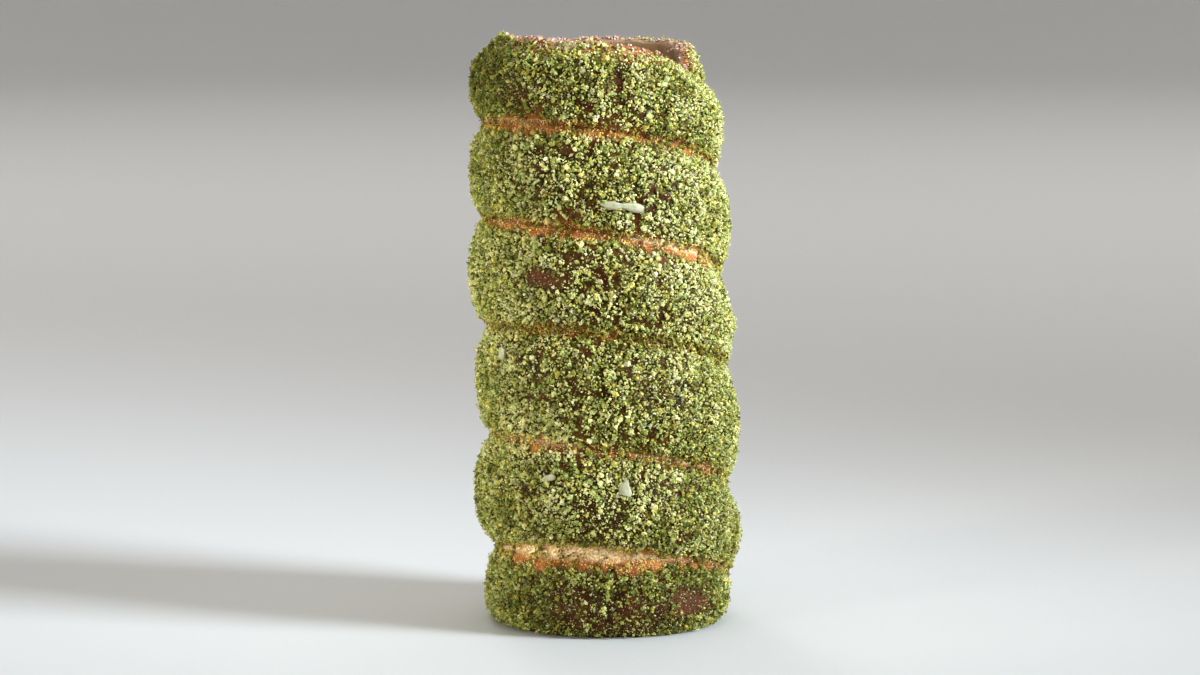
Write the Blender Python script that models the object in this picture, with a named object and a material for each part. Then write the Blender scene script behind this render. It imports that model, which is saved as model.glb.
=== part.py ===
"""A chimney cake: a ribbon of sweet yeast dough, wound round a spit and baked into one hollow piece, then rolled in
ground pistachio.

Metres, +Z up. The origin is at the middle of the foot, and the cake stands on its lower end. -Y is the side that is
best seen. Angles are counted in turns from the left side (-X), by way of the front, the way the ribbon winds down.
"""

import math
import random

import bmesh
import bpy
from mathutils import Euler, Matrix, Vector

# The wound ribbon
SPIT_RADIUS = 0.0300
RIM_HEIGHT = 0.2138
SEAM_HEIGHTS = (  # of the seam at each half turn, the left and right side in turn, from two turns above the rim
    0.3080, 0.2930, 0.2600, 0.2420, 0.2195, 0.2008, 0.1841, 0.1684, 0.1493, 0.1296, 0.1104, 0.0948,
    0.0704, 0.0520, 0.0279, 0.0172, -0.0130, -0.0280, -0.0580, -0.0720, -0.0970, -0.1120,
)
TURNS_ABOVE = 2
SEAM_SWAY = 0.0082  # the seam runs this much higher in front, and lower at the back, than an even spiral
GROOVE_RADII = (  # at the bottom of the seam at each half turn, the left and right side in turn, from the rim down
    0.0408, 0.0408, 0.0407, 0.0411, 0.0418, 0.0427, 0.0402, 0.0431, 0.0411, 0.0442, 0.0407, 0.0443, 0.0410, 0.0410,
)
CROWN_RADII = (  # of the ribbon's crown at each half turn below the rim, left and right side in turn
    0.0454, 0.0454, 0.0468, 0.0475, 0.0472, 0.0479, 0.0468, 0.0488, 0.0480, 0.0487, 0.0452, 0.0454, 0.0446,
)
GROOVE_FLATS = (0.0022, 0.0012, 0.0016, 0.0006, 0.0013, 0.0030, 0.0020)  # half width of each seam's bottom
CROWN_FULLNESS = 0.72
CROWN_SAG = 1.18  # above 1, the crown hangs below the middle of the band
LUMP = 0.0007

# The two ends
RIM_TILT = 0.0016
RIM_TILT_TURN = 0.06
RIM_DIP = 0.0090  # where the ribbon's first turn leaves the rim
RIM_DIP_TURN = 0.468
RIM_DIP_WIDTHS = (0.060, 0.052)  # in turns, before and after the deepest point
SHOULDER_IN, SHOULDER_DOWN, SHOULDER_POWER = 0.0095, 0.0160, 2.0
FOOT_IN, FOOT_UP, FOOT_POWER = 0.0055, 0.0100, 2.0
MOUTH_ROUNDING = 0.0013
RIM_LOOPS = (  # from the crest into the bore: (how far outside the spit, how far below the rim)
    (0.0045, -0.0004),
    (MOUTH_ROUNDING, 0.0002),
    (0.0, MOUTH_ROUNDING),
)

# The lean of the baked cake, sideways
LEAN_AT_FOOT = 0.0012
LEAN_AT_RIM = -0.0040
LEAN_FROM = 0.0350

# The mesh
COLUMNS = 60
BAND_ROWS = (0.0, 0.08, 0.22, 0.40, 0.60, 0.78, 0.92)
WOUND_TURNS = 10
SNAP = 0.0008  # rows nearer than this to an end are drawn onto it
MERGE = 0.00001
RIBBON_PITCH = 0.0400  # of the even spiral that the ribbon is first wound to

# The pistachio coat
CRUMB_COUNT = 205
CRUMB_RADII = (0.00125, 0.00205)
CRUMB_SINK = 0.25
CRUMB_JITTER = 0.22
CRUMB_CLEAR_OF_SEAM = 0.0042
CRUMB_CLEAR_OF_FOOT = 0.0040
CRUMB_CLEAR_OF_RIM = 0.0035
CRUMB_CLEAR_OF_ALMOND = 0.0020
CRUMB_SEED = 5
GOLDEN_TURN = (3 - math.sqrt(5)) / 2

# The almond slivers: (turn, height, length, width, thickness, roll in degrees)
ALMONDS = (
    (0.279, 0.1563, 0.0150, 0.0034, 0.0022, -9),
    (0.108, 0.1026, 0.0046, 0.0034, 0.0016, 60),
    (0.180, 0.0594, 0.0048, 0.0026, 0.0016, 12),
    (0.273, 0.0567, 0.0056, 0.0048, 0.0018, 74),
)
ALMOND_SINK = 0.40
ALMOND_WAIST = 0.70


def clear_scene():
    for obj in list(bpy.data.objects):
        bpy.data.objects.remove(obj)


def eased(values, place):
    """The values read as a smooth curve, at a place counted in steps between them."""
    place = min(max(place, 0.0), len(values) - 1.0)
    step = min(int(place), len(values) - 2)
    share = place - step
    before, here = values[max(step - 1, 0)], values[step]
    there, after = values[step + 1], values[min(step + 2, len(values) - 1)]
    slope_here, slope_there = (there - before) / 2, (after - here) / 2
    cube, square = share**3, share**2
    return (
        (2 * cube - 3 * square + 1) * here
        + (cube - 2 * square + share) * slope_here
        + (3 * square - 2 * cube) * there
        + (cube - square) * slope_there
    )


def seam_height(turns):
    """Height of the seam where it has wound this many turns. Turn 1 is the first groove below the rim, on the left."""
    return eased(SEAM_HEIGHTS, 2 * (turns + TURNS_ABOVE)) + SEAM_SWAY * math.sin(math.tau * turns)


def rim_height(turn):
    """Height of the upper end at a turn from 0 to 1. It dips where the ribbon starts down."""
    off = (turn - RIM_DIP_TURN + 0.5) % 1.0 - 0.5
    dip = math.exp(-((off / RIM_DIP_WIDTHS[off > 0]) ** 2))
    return RIM_HEIGHT + RIM_TILT * math.cos(math.tau * (turn - RIM_TILT_TURN)) - RIM_DIP * dip


def lean(height):
    """Sideways place of the middle of the bore at a height."""
    share = max(height - LEAN_FROM, 0.0) / (RIM_HEIGHT - LEAN_FROM)
    return LEAN_AT_FOOT + (LEAN_AT_RIM - LEAN_AT_FOOT) * share


def band_at(turn, height):
    """(whole turns wound, share of the way down the band) of the ribbon at a place on the side."""
    whole = -1
    while seam_height(whole + 1 + turn) > height:
        whole += 1
    top, bottom = seam_height(whole + turn), seam_height(whole + 1 + turn)
    return whole, (top - height) / (top - bottom)


def lump(turn, height):
    """The dough's unevenness, from -1 to 1."""
    angle = math.tau * turn
    return (
        0.5 * math.sin(3 * angle + 61 * height)
        + 0.3 * math.sin(5 * angle - 97 * height + 1.3)
        + 0.2 * math.sin(2 * angle + 173 * height + 2.1)
    )


def side_radius(turn, height):
    """Outer radius of the coated cake: crowned bands with a groove between each two, drawn in at both ends."""
    whole, share = band_at(turn, height)
    wound = max(whole + turn, 0.0)
    top, bottom = seam_height(whole + turn), seam_height(whole + 1 + turn)
    upper_flat, lower_flat = eased(GROOVE_FLATS, wound), eased(GROOVE_FLATS, wound + 1)
    width = top - bottom
    across = (share * width - upper_flat) / (width - upper_flat - lower_flat)
    across = min(max(across, 0.0), 1.0) ** CROWN_SAG
    crown = (4 * across * (1 - across)) ** CROWN_FULLNESS
    groove = eased(GROOVE_RADII, 2 * (wound + share))
    radius = groove + (eased(CROWN_RADII, 2 * wound) - groove) * crown + LUMP * lump(turn, height)
    below_rim = max(rim_height(turn) - height, 0.0)
    radius -= SHOULDER_IN * max(1 - below_rim / SHOULDER_DOWN, 0.0) ** SHOULDER_POWER
    radius -= FOOT_IN * max(1 - height / FOOT_UP, 0.0) ** FOOT_POWER
    return radius


def place(turn, radius, height):
    """The point at a turn, a distance from the bore's middle, and a height."""
    angle = math.pi + math.tau * turn
    return Vector((lean(height) + radius * math.cos(angle), radius * math.sin(angle), height))


def on_side(turn, height):
    """(point, outward direction) on the cake's side."""
    step_turn, step_height = 0.004, 0.0008
    point = place(turn, side_radius(turn, height), height)
    along = place(turn + step_turn, side_radius(turn + step_turn, height), height) - point
    up = place(turn, side_radius(turn, height + step_height), height + step_height) - point
    return point, along.cross(up).normalized()


def turn_of(point):
    return (math.atan2(point.y, point.x) - math.pi) / math.tau % 1.0


def wind_ribbon(mesh):
    """Winds the outline of one band down an even spiral, as the ribbon is wound on the spit. Each turn meets the next."""
    outline = [mesh.verts.new((-SPIT_RADIUS, 0, -share * RIBBON_PITCH)) for share in (*BAND_ROWS, 1.0)]
    edges = [mesh.edges.new(pair) for pair in zip(outline, outline[1:])]
    bmesh.ops.spin(
        mesh,
        geom=outline + edges,
        cent=(0, 0, 0),
        axis=(0, 0, 1),
        dvec=(0, 0, -RIBBON_PITCH / COLUMNS),
        angle=math.tau * WOUND_TURNS,
        steps=COLUMNS * WOUND_TURNS,
    )
    bmesh.ops.remove_doubles(mesh, verts=mesh.verts, dist=MERGE)


def shape_side(mesh):
    """Moves the wound ribbon to the cake's own side, and gathers what lies past an end at that end."""
    for vert in mesh.verts:
        column = round(turn_of(vert.co) * COLUMNS) % COLUMNS
        turn = column / COLUMNS
        wound = -vert.co.z / RIBBON_PITCH - turn
        whole = math.floor(wound + MERGE)
        share = wound - whole
        above = seam_height(whole - TURNS_ABOVE + turn)
        below = seam_height(whole - TURNS_ABOVE + 1 + turn)
        height = (1 - share) * above + share * below
        top = rim_height(turn)
        if height > top - SNAP:
            height = top
        if height < SNAP:
            height = 0.0
        vert.co = place(turn, side_radius(turn, height), height)
    bmesh.ops.remove_doubles(mesh, verts=mesh.verts, dist=MERGE)


def end_loop(mesh, at_top):
    """The open edges at one end of the side."""
    return [e for e in mesh.edges if e.is_boundary and (e.verts[0].co.z > RIM_HEIGHT / 2) == at_top]


def draw_loop(mesh, edges, radius, height_at):
    """Extrudes a loop of edges to a new radius, and to the height that the rule gives at each turn. Returns the loop."""
    made = bmesh.ops.extrude_edge_only(mesh, edges=edges)["geom"]
    for vert in (g for g in made if isinstance(g, bmesh.types.BMVert)):
        turn = turn_of(vert.co - Vector((lean(vert.co.z), 0, 0)))
        vert.co = place(turn, radius, height_at(turn))
    return [g for g in made if isinstance(g, bmesh.types.BMEdge)]


def close_ends(mesh):
    """Rounds the rim over into the bore, runs the bore down, and joins it to the foot."""
    loop = end_loop(mesh, True)
    foot = end_loop(mesh, False)
    for outside, below in RIM_LOOPS:
        loop = draw_loop(mesh, loop, SPIT_RADIUS + outside, lambda turn: rim_height(turn) - below)
    loop = draw_loop(mesh, loop, SPIT_RADIUS, lambda turn: LEAN_FROM)
    loop = draw_loop(mesh, loop, SPIT_RADIUS, lambda turn: MOUTH_ROUNDING)
    loop = draw_loop(mesh, loop, SPIT_RADIUS + MOUTH_ROUNDING, lambda turn: 0.0)
    bmesh.ops.bridge_loops(mesh, edges=loop + foot)
    bmesh.ops.recalc_face_normals(mesh, faces=mesh.faces)


def new_object(name, mesh, collection):
    data = bpy.data.meshes.new(name)
    mesh.to_mesh(data)
    mesh.free()
    obj = bpy.data.objects.new(name, data)
    collection.objects.link(obj)
    return obj


def build_cake():
    mesh = bmesh.new()
    wind_ribbon(mesh)
    shape_side(mesh)
    close_ends(mesh)
    return new_object("chimney_cake", mesh, bpy.context.scene.collection)


def add_crumb(draw, turn, height, collection):
    """One crumb of pistachio, an uneven lump of a few faces, half sunk in the coat."""
    radius = draw.uniform(*CRUMB_RADII)
    point, outward = on_side(turn, height)
    mesh = bmesh.new()
    bmesh.ops.create_icosphere(mesh, subdivisions=1, radius=radius)
    for vert in mesh.verts:
        vert.co *= 1 + draw.uniform(-CRUMB_JITTER, CRUMB_JITTER)
    stretch = Matrix.Diagonal((draw.uniform(0.85, 1.25), draw.uniform(0.85, 1.1), draw.uniform(0.8, 1.0), 1))
    roll = Euler([draw.uniform(0, math.tau) for _ in range(3)]).to_matrix().to_4x4()
    bmesh.ops.transform(mesh, matrix=roll @ stretch, verts=mesh.verts)
    bmesh.ops.translate(mesh, vec=point - outward * radius * CRUMB_SINK, verts=mesh.verts)
    new_object("crumb", mesh, collection)


def room_for_crumb(turn, height):
    """Whether a place is clear of the seams, of both ends and of the almonds."""
    whole, share = band_at(turn, height)
    top, bottom = seam_height(whole + turn), seam_height(whole + 1 + turn)
    if min(share, 1 - share) * (top - bottom) < CRUMB_CLEAR_OF_SEAM:
        return False
    if height < CRUMB_CLEAR_OF_FOOT or rim_height(turn) - height < CRUMB_CLEAR_OF_RIM:
        return False
    point, _ = on_side(turn, height)
    return all(
        (point - on_side(*almond[:2])[0]).length > almond[2] / 2 + CRUMB_CLEAR_OF_ALMOND for almond in ALMONDS
    )


def scatter_crumbs(collection):
    """The largest crumbs, spread evenly round the side."""
    draw = random.Random(CRUMB_SEED)
    for index in range(CRUMB_COUNT):
        turn = index * GOLDEN_TURN % 1.0
        height = RIM_HEIGHT * (index + 0.5) / CRUMB_COUNT
        if room_for_crumb(turn, height):
            add_crumb(draw, turn, height, collection)


def add_almond(turn, height, length, width, thickness, roll, collection):
    """One sliver of blanched almond, waisted in the middle, lying flat on the coat."""
    point, outward = on_side(turn, height)
    along = Vector((0, 0, 1)).cross(outward).normalized()
    frame = Matrix((along, outward.cross(along), outward)).transposed().to_4x4()
    mesh = bmesh.new()
    bmesh.ops.create_grid(mesh, x_segments=4, y_segments=1, size=0.5)
    made = bmesh.ops.extrude_face_region(mesh, geom=mesh.faces[:])["geom"]
    bmesh.ops.translate(mesh, vec=(0, 0, 1), verts=[g for g in made if isinstance(g, bmesh.types.BMVert)])
    for vert in mesh.verts:
        waist = ALMOND_WAIST + (1 - ALMOND_WAIST) * abs(2 * vert.co.x)
        vert.co = Vector((vert.co.x * length, vert.co.y * width * waist, (vert.co.z - ALMOND_SINK) * thickness))
    bmesh.ops.recalc_face_normals(mesh, faces=mesh.faces)
    laid = Matrix.Translation(point) @ frame @ Matrix.Rotation(math.radians(roll), 4, "Z")
    bmesh.ops.transform(mesh, matrix=laid, verts=mesh.verts)
    new_object("almond", mesh, collection)


def fuse(cake, toppings):
    """Joins every topping to the cake in one union, and removes the toppings' own objects."""
    union = cake.modifiers.new("toppings", "BOOLEAN")
    union.operation = "UNION"
    union.operand_type = "COLLECTION"
    union.collection = toppings
    union.solver = "MANIFOLD"
    bpy.context.view_layer.update()
    graph = bpy.context.evaluated_depsgraph_get()
    joined = bpy.data.meshes.new_from_object(cake.evaluated_get(graph))
    cake.modifiers.clear()
    cake.data = joined
    for obj in list(toppings.objects):
        bpy.data.objects.remove(obj)
    bpy.data.collections.remove(toppings)


def coat_material():
    """Ground pistachio over browned dough."""
    material = bpy.data.materials.new("pistachio_coat")
    material.use_nodes = True
    shader = material.node_tree.nodes["Principled BSDF"]
    shader.inputs["Base Color"].default_value = (0.33, 0.38, 0.12, 1)
    shader.inputs["Roughness"].default_value = 0.85
    shader.inputs["Metallic"].default_value = 0.0
    return material


def main():
    clear_scene()
    cake = build_cake()
    toppings = bpy.data.collections.new("toppings")
    bpy.context.scene.collection.children.link(toppings)
    scatter_crumbs(toppings)
    for almond in ALMONDS:
        add_almond(*almond, toppings)
    fuse(cake, toppings)
    cake.data.materials.clear()
    cake.data.materials.append(coat_material())


main()
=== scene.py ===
"""The look of a chimney cake: baked dough wound in a spiral, under a coat of ground pistachio, sugar and almond.

Metres, +Z up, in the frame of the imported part. Turns count round the cake from the left side (-X), by way of the
front (-Y), the way the ribbon winds down. Turn 1 of the seam is the first groove below the rim, on the left.
"""

import math

import bmesh
import bpy
import numpy as np
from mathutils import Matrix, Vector


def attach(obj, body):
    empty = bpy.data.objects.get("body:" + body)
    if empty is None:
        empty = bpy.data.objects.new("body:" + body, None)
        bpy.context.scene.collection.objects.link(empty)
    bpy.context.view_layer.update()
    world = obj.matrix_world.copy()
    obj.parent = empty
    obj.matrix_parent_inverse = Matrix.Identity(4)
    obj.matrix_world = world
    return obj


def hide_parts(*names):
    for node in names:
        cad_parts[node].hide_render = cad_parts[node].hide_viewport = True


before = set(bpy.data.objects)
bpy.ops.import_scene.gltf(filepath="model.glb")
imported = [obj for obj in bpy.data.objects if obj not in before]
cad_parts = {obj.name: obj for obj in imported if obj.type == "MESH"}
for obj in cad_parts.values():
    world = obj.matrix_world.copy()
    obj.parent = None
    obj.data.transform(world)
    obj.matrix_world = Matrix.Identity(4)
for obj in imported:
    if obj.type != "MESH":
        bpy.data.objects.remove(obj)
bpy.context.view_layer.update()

# The wound ribbon, as in the part
SPIT_RADIUS = 0.0300
RIM_HEIGHT = 0.2138
SEAM_HEIGHTS = (  # of the seam at each half turn, the left and right side in turn, from two turns above the rim
    0.3080, 0.2930, 0.2600, 0.2420, 0.2195, 0.2008, 0.1841, 0.1684, 0.1493, 0.1296, 0.1104, 0.0948,
    0.0704, 0.0520, 0.0279, 0.0172, -0.0130, -0.0280, -0.0580, -0.0720, -0.0970, -0.1120,
)
TURNS_ABOVE = 2
SEAM_SWAY = 0.0082
GROOVE_RADII = (
    0.0408, 0.0408, 0.0407, 0.0411, 0.0418, 0.0427, 0.0402, 0.0431, 0.0411, 0.0442, 0.0407, 0.0443, 0.0410, 0.0410,
)
CROWN_RADII = (
    0.0454, 0.0454, 0.0468, 0.0475, 0.0472, 0.0479, 0.0468, 0.0488, 0.0480, 0.0487, 0.0452, 0.0454, 0.0446,
)
GROOVE_FLATS = (0.0022, 0.0012, 0.0016, 0.0006, 0.0013, 0.0030, 0.0020)
CROWN_FULLNESS = 0.72
CROWN_SAG = 1.18
LUMP = 0.0007
RIM_TILT, RIM_TILT_TURN = 0.0016, 0.06
RIM_DIP, RIM_DIP_TURN = 0.0090, 0.468
RIM_DIP_WIDTHS = (0.086, 0.052)
BACK_DIP, BACK_DIP_TURN, BACK_DIP_WIDTH = 0.0023, 0.84, 0.09
SHOULDER_IN, SHOULDER_DOWN, SHOULDER_POWER = 0.0095, 0.0160, 2.0
FOOT_IN, FOOT_UP, FOOT_POWER = 0.0055, 0.0100, 2.0
MOUTH_ROUNDING = 0.0013
LEAN_AT_FOOT, LEAN_AT_RIM, LEAN_FROM = 0.0012, -0.0040, 0.0350

# The baked surface
COLUMNS = 288
ROWS_PER_BAND = 28
BANDS = 9
RIM_ROWS = 10
BORE_ROWS = 64
FOOT_ROWS = 4
RIM_CREST = 0.0014
MERGE = 0.00002
CLOUD_CELLS = 40
CLOUD_RADIUS = 0.0450
COAT_DEPTH = 0.0008  # the dough lies this far below the outside of the coat
LIP_SAG = 0.0020  # how far a band's lower edge hangs over the next band
BORE_GROOVE = 0.0006
BORE_GROOVE_WIDTH = 0.0016
SKIN_RELIEF = 0.00022
HILL = 0.00050  # hills under the coat
HILL_ACROSS = 0.0050

# Where the dough shows: (seam turns, width of the bare strip in mm, how pale it is)
BARE_STRIPS = (
    (0.30, 2.0, 0.0), (0.60, 1.5, 0.0), (0.95, 2.0, 0.0), (1.02, 3.4, 0.1), (1.07, 4.6, 0.1), (1.14, 5.6, 0.1),
    (1.22, 5.2, 0.0), (1.29, 3.8, 0.0), (1.36, 2.2, 0.0), (1.43, 1.4, 0.2), (1.50, 0.6, 0.0), (1.62, 3.0, 0.2),
    (1.75, 4.0, 0.5), (1.90, 1.8, 0.0), (2.04, 0.6, 0.0), (2.10, 1.6, 0.1), (2.15, 4.6, 0.0), (2.22, 5.6, 0.0),
    (2.27, 3.0, 0.0), (2.31, 4.2, 0.5), (2.36, 5.6, 0.9), (2.41, 3.6, 0.8), (2.46, 1.2, 0.3), (2.60, 2.0, 0.0),
    (2.74, 4.4, 0.3), (2.88, 1.6, 0.0), (3.04, 0.4, 0.0), (3.13, 1.0, 0.1), (3.19, 0.8, 0.0), (3.23, 0.4, 0.0),
    (3.28, 1.2, 0.2), (3.34, 0.6, 0.0), (3.50, 0.2, 0.0), (3.70, 3.0, 0.2), (3.92, 1.4, 0.0), (4.06, 2.4, 0.3),
    (4.13, 4.4, 0.5), (4.19, 3.4, 0.3), (4.25, 1.0, 0.0), (4.30, 2.4, 0.2), (4.35, 3.6, 0.6), (4.40, 1.8, 0.3),
    (4.46, 0.8, 0.0), (4.60, 1.4, 0.0), (4.76, 4.6, 0.4), (4.94, 1.6, 0.1), (5.04, 1.6, 0.6), (5.10, 5.2, 1.0),
    (5.14, 8.8, 1.0), (5.20, 9.8, 1.0), (5.25, 9.0, 1.0), (5.29, 7.6, 0.5), (5.33, 5.2, 0.2), (5.38, 2.4, 0.1),
    (5.47, 1.2, 0.1), (5.60, 3.0, 0.2), (5.80, 3.4, 0.4), (6.20, 2.0, 0.0),
)
RIM_EDGES = (  # (turn, how far below the rim the coat starts, in mm)
    (0.00, -0.8), (0.07, -1.6), (0.10, 0.2), (0.14, 0.9), (0.18, 1.0), (0.20, -0.6), (0.23, 0.7), (0.26, -1.6),
    (0.28, 0.6), (0.30, 2.8), (0.33, 2.6), (0.35, 0.6), (0.40, -0.8), (0.47, -0.6), (0.55, 0.6), (0.68, 1.6),
    (0.80, 0.6), (0.92, 1.0), (1.00, -0.8),
)
STRIP_ABOVE_SEAM = 0.40  # share of the strip that lies on the band above the seam
STRIP_EDGE = 0.0012
STRIP_WANDER = 0.0016
NARROWEST_STRIP = 0.9  # mm, the crease that shows even where the coat runs on
STRAYS_ACROSS = 0.003  # size of the groups of stray crumbs on the bare strips
BARED = 0.94  # share of the coat that is gone at the strongest thin patch

# Where the coat is thin and the dark glaze shows: (turn, height, half width round the side, half height, strength)
THIN_PATCHES = (
    (0.180, 0.1315, 0.0090, 0.0046, 0.88),
    (0.214, 0.1385, 0.0080, 0.0032, 0.75),
    (0.214, 0.1765, 0.0042, 0.0026, 0.85),
    (0.280, 0.1876, 0.0090, 0.0055, 0.50),
    (0.138, 0.1970, 0.0060, 0.0075, 0.55),
    (0.240, 0.0100, 0.0340, 0.0110, 0.66),
    (0.374, 0.0112, 0.0120, 0.0070, 0.84),
    (0.330, 0.0890, 0.0100, 0.0060, 0.40),
    (0.240, 0.0480, 0.0120, 0.0060, 0.35),
    (0.620, 0.1500, 0.0120, 0.0060, 0.75),
    (0.820, 0.1020, 0.0140, 0.0060, 0.75),
    (0.700, 0.0480, 0.0120, 0.0070, 0.70),
    (0.920, 0.0250, 0.0100, 0.0060, 0.60),
)

# Painted light and shade: where the coat is made lighter or darker in broad zones: (turn, height, half width round the
# side, half height, shift in tone)
LIGHT_AND_SHADE_ZONES = (
    (0.115, 0.115, 0.011, 0.045, 0.14),
    (0.070, 0.047, 0.025, 0.012, -0.16),
    (0.070, 0.168, 0.025, 0.012, -0.10),
    (0.100, 0.092, 0.020, 0.010, -0.10),
    (0.250, 0.088, 0.030, 0.016, 0.08),
    (0.250, 0.050, 0.030, 0.010, 0.09),
    (0.200, 0.172, 0.020, 0.012, 0.04),
    (0.380, 0.130, 0.018, 0.035, 0.12),
    (0.400, 0.062, 0.030, 0.040, -0.07),
    (0.060, 0.205, 0.030, 0.018, -0.36),
    (0.250, 0.012, 0.070, 0.018, -0.22),
    (0.150, 0.070, 0.014, 0.0045, 0.38),
)
EVEN_TURNS = (  # where the coat is denser and more even: (turn, half width, by how much)
    (0.09, 0.055, 1.0),
    (0.42, 0.045, 0.8),
)
EVEN_TONES = 0.30  # how much less the tones vary there

# The crumbs of each kind: (name, pieces, crumbs in each, corners, smallest and largest across, spacing, lift)
CRUMBS = (
    ("pistachio_coarse", 1, 2600, 10, 0.0015, 0.0025, 0.0022, 0.00040),
    ("pistachio_medium", 2, 17500, 7, 0.0008, 0.0018, 0.00082, 0.00030),
)
HEAP = 0.0008  # how high crumbs lie on each other
HEAP_ACROSS = 0.0022
# painted shade: how much darker the crumbs are made down in the grooves
GROOVE_SHADE = 0.26

# The fine grains that cling to the crumbs: (pieces, grains in each, smallest and largest across)
GRAINS = (4, 18000, 0.00040, 0.00095)
GRAINS_BETWEEN = 0.22  # share that lies between the crumbs

# What else lies on the side: (how many, smallest and largest across, least and most that one way differs from another)
DUST = (14000, 0.00025, 0.00080, 0.80, 1.20)
NUT_SKIN = (1200, 0.0006, 0.0013, 0.80, 1.25)
RIM_SUGAR = (1000, 0.0004, 0.0010, 0.75, 1.25)
SIDE_SUGAR = (6000, 0.0003, 0.0008, 0.80, 1.20)

# The almond slivers, as in the part: (turn, height, length, width, thickness, roll in degrees, widths along it)
ALMONDS = (
    (0.279, 0.1574, 0.0150, 0.0034, 0.0020, -9, (0.35, 0.80, 0.86, 0.58, 0.66, 0.95, 1.00, 0.72)),
    (0.108, 0.1026, 0.0046, 0.0034, 0.0016, 60, (0.45, 0.90, 1.00, 0.90, 0.60)),
    (0.180, 0.0594, 0.0048, 0.0026, 0.0016, 12, (0.50, 1.00, 0.80, 0.95, 0.40)),
    (0.273, 0.0567, 0.0056, 0.0048, 0.0018, 74, (0.90, 1.00, 0.80, 0.50, 0.20)),
)
SLIVER_CREASE = 0.7

# Ground pistachio from dark to light, as seen on screen: most of it, the yellower, the greener and the pinkish grey
# crumbs, and what caramel has stained
STRAW = ((62, 62, 10), (112, 123, 42), (167, 174, 92), (214, 211, 148), (240, 234, 188))
YELLOW = ((84, 62, 8), (148, 130, 34), (206, 188, 80), (238, 220, 132), (248, 238, 184))
GREEN = ((30, 46, 8), (82, 104, 34), (132, 154, 66), (182, 196, 112), (212, 222, 168))
GREYISH = ((52, 36, 34), (98, 76, 72), (150, 126, 120), (200, 180, 170), (238, 226, 218))
STAINED = ((108, 74, 14), (180, 138, 38), (224, 184, 74), (244, 214, 124), (250, 232, 168))

# The camera, at the photograph's place
CAMERA_DISTANCE = 1.40
CAMERA_ELEVATION = 7.5
AIM = (-0.0017, 0.0, 0.1045)
METRES_PER_PIXEL = 0.000368  # at the aim
FRAME_PIXELS = 1200
SENSOR = 36.0
STAGE_RADIUS = 3.2
STAGE_BEND = 2.0
STAGE_WALL = 1.0


def srgb(red, green, blue):
    """A colour as seen on screen, 0 to 255, in the linear values that a shader takes."""
    channels = [((c / 255 + 0.055) / 1.055) ** 2.4 if c > 10 else c / 255 / 12.92 for c in (red, green, blue)]
    return (*channels, 1.0)


def eased(values, place):
    """The values read as a smooth curve, at places counted in steps between them."""
    values = np.asarray(values)
    place = np.clip(place, 0.0, len(values) - 1.0)
    step = np.minimum(place.astype(int), len(values) - 2)
    share = place - step
    before, here = values[np.maximum(step - 1, 0)], values[step]
    there, after = values[step + 1], values[np.minimum(step + 2, len(values) - 1)]
    slope_here, slope_there = (there - before) / 2, (after - here) / 2
    cube, square = share**3, share**2
    return (
        (2 * cube - 3 * square + 1) * here
        + (cube - 2 * square + share) * slope_here
        + (3 * square - 2 * cube) * there
        + (cube - square) * slope_there
    )


def smooth_step(low, high, value):
    share = np.clip((value - low) / (high - low), 0.0, 1.0)
    return share * share * (3 - 2 * share)


def seam_height(turns):
    return eased(SEAM_HEIGHTS, 2 * (turns + TURNS_ABOVE)) + SEAM_SWAY * np.sin(math.tau * turns)


def rim_height(turn):
    """Height of the rim, tilted, with a deep dip on the right and a slight one at the back."""
    off = (turn - RIM_DIP_TURN + 0.5) % 1.0 - 0.5
    width = np.where(off > 0, RIM_DIP_WIDTHS[1], RIM_DIP_WIDTHS[0])
    off_back = (turn - BACK_DIP_TURN + 0.5) % 1.0 - 0.5
    tilted = RIM_HEIGHT + RIM_TILT * np.cos(math.tau * (turn - RIM_TILT_TURN))
    return tilted - RIM_DIP * np.exp(-((off / width) ** 2)) - BACK_DIP * np.exp(-((off_back / BACK_DIP_WIDTH) ** 2))


def lean(height):
    share = np.maximum(height - LEAN_FROM, 0.0) / (RIM_HEIGHT - LEAN_FROM)
    return LEAN_AT_FOOT + (LEAN_AT_RIM - LEAN_AT_FOOT) * share


def band_at(turn, height):
    """(whole turns wound, height of the seam above, height of the seam below) at places on the side."""
    whole = np.full(np.shape(turn), -1)
    for count in range(BANDS):
        whole = np.where(seam_height(count + turn) > height, count, whole)
    return whole, seam_height(whole + turn), seam_height(whole + 1 + turn)


def lump(turn, height):
    angle = math.tau * turn
    return (
        0.5 * np.sin(3 * angle + 61 * height)
        + 0.3 * np.sin(5 * angle - 97 * height + 1.3)
        + 0.2 * np.sin(2 * angle + 173 * height + 2.1)
    )


def coat_radius(turn, height):
    """Radius of the outside of the coat, which is the part's own side."""
    whole, top, bottom = band_at(turn, height)
    wound = np.maximum(whole + turn, 0.0)
    width = top - bottom
    share = (top - height) / width
    upper_flat, lower_flat = eased(GROOVE_FLATS, wound), eased(GROOVE_FLATS, wound + 1)
    across = np.clip((share * width - upper_flat) / (width - upper_flat - lower_flat), 0.0, 1.0) ** CROWN_SAG
    crown = (4 * across * (1 - across)) ** CROWN_FULLNESS
    groove = eased(GROOVE_RADII, 2 * (wound + share))
    radius = groove + (eased(CROWN_RADII, 2 * wound) - groove) * crown + LUMP * lump(turn, height)
    below_rim = np.maximum(rim_height(turn) - height, 0.0)
    radius = radius - SHOULDER_IN * np.maximum(1 - below_rim / SHOULDER_DOWN, 0.0) ** SHOULDER_POWER
    return radius - FOOT_IN * np.maximum(1 - height / FOOT_UP, 0.0) ** FOOT_POWER


def place(turn, radius, height):
    """Points at turns round the cake, distances from the bore's middle, and heights."""
    angle = math.pi + math.tau * turn
    return np.stack([lean(height) + radius * np.cos(angle), radius * np.sin(angle), height], axis=-1)


def turn_of(points):
    return (np.arctan2(points[:, 1], points[:, 0] - lean(points[:, 2])) - math.pi) / math.tau % 1.0


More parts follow.
